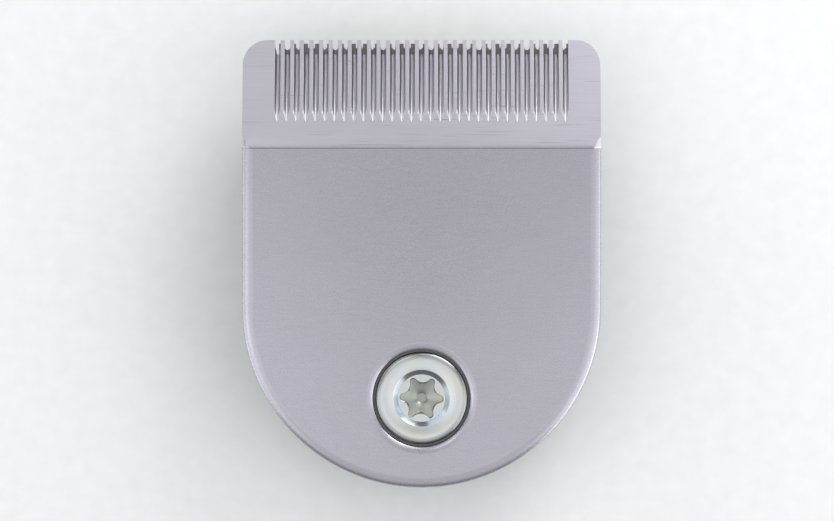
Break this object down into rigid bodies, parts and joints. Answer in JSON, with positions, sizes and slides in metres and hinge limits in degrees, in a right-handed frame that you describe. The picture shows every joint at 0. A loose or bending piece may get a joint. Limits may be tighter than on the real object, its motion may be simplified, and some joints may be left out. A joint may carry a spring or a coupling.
{
  "type": "hair trimmer blade set",
  "caption": "D-shaped steel comb plate with a ground, slotted front edge, a sliding toothed cutter behind it, and a screwed-on moulded base that snaps to a hair trimmer.",
  "frame": {"origin": "middle of the set's length and width, on the plane of the base's rear rim", "axes": "+X to the right as seen on the face plate, along the cutter's stroke; +Y towards the tooth tips; +Z out of the face plate"},
  "size_m": [0.032, 0.04, 0.0101],
  "materials": {
    "ground_steel": "satin blasted face with a cross-ground band along the teeth",
    "cutter_steel": "ground",
    "plated_screw": "bright zinc plate",
    "spring_steel": "rolled strip",
    "driver_plastic": "moulded, natural white",
    "base_plastic": "moulded, fine spark texture"
  },
  "bodies": {
    "blade_body": {"comb_plate": "ground_steel", "blade_base": "base_plastic", "pressure_spring": "spring_steel", "fixing_screw": "plated_screw"},
    "cutter": {"cutter_blade": "cutter_steel", "cutter_driver": "driver_plastic"}
  },
  "joints": [
    {"name": "cutter_slide", "type": "slide", "parent": "blade_body", "child": "cutter", "axis": [1, 0, 0], "range_m": [-0.00152, 0.00088]}
  ]
}
